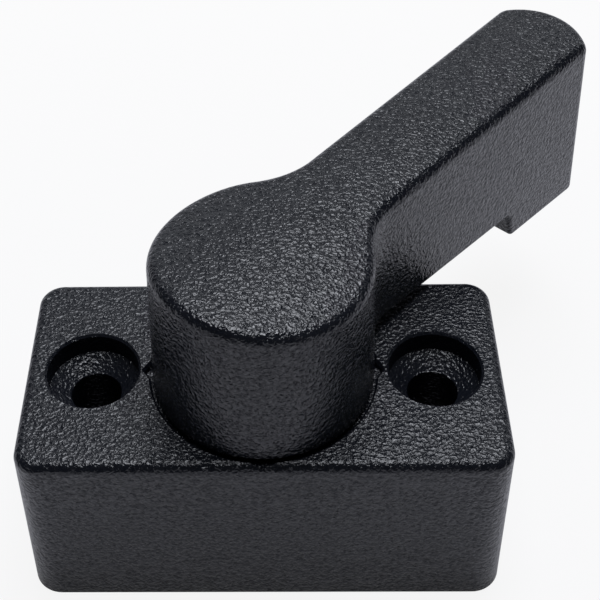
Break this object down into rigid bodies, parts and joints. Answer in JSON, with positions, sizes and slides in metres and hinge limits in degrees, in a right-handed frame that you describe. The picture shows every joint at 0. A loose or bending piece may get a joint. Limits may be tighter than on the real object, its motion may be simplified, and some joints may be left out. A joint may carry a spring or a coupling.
{
  "type": "caravan door latch",
  "caption": "Turn-lever door latch: a cast block with counterbored screw holes carries a round-hubbed lever whose end hooks down over a door edge.",
  "frame": {"origin": "On the mounting face, on the lever's turning axis, midway between the two screw holes.", "axes": "+X along the block through both screw holes, +Y away from the viewer of the picture, +Z out of the door frame along the turning axis."},
  "size_m": [0.0641, 0.0554, 0.0397],
  "materials": {
    "black_casting": "black satin powder coat with a fine grain over a zinc casting",
    "zinc_plated_steel": "bright zinc plated",
    "spring_steel": "drawn spring wire",
    "nylon": "natural nylon"
  },
  "bodies": {
    "base": {"base": "black_casting", "detent_spring": "spring_steel"},
    "spring_seat": {"spring_washer": "zinc_plated_steel"},
    "lever": {"lever": "black_casting", "pivot_stud": "zinc_plated_steel", "lock_nut": "zinc_plated_steel", "lock_nut_ring": "nylon"}
  },
  "joints": [
    {"name": "lever_lift", "type": "slide", "parent": "base", "child": "spring_seat", "axis": [0, 0, 1], "range_m": [0, 0.0015], "stiffness_N_per_m": 8860, "springref_m": -0.0043, "deforming": ["detent_spring"]},
    {"name": "lever_turn", "type": "hinge", "parent": "spring_seat", "child": "lever", "pos_m": [0, 0, 0.022], "axis": [0, 0, 1], "continuous": true}
  ]
}
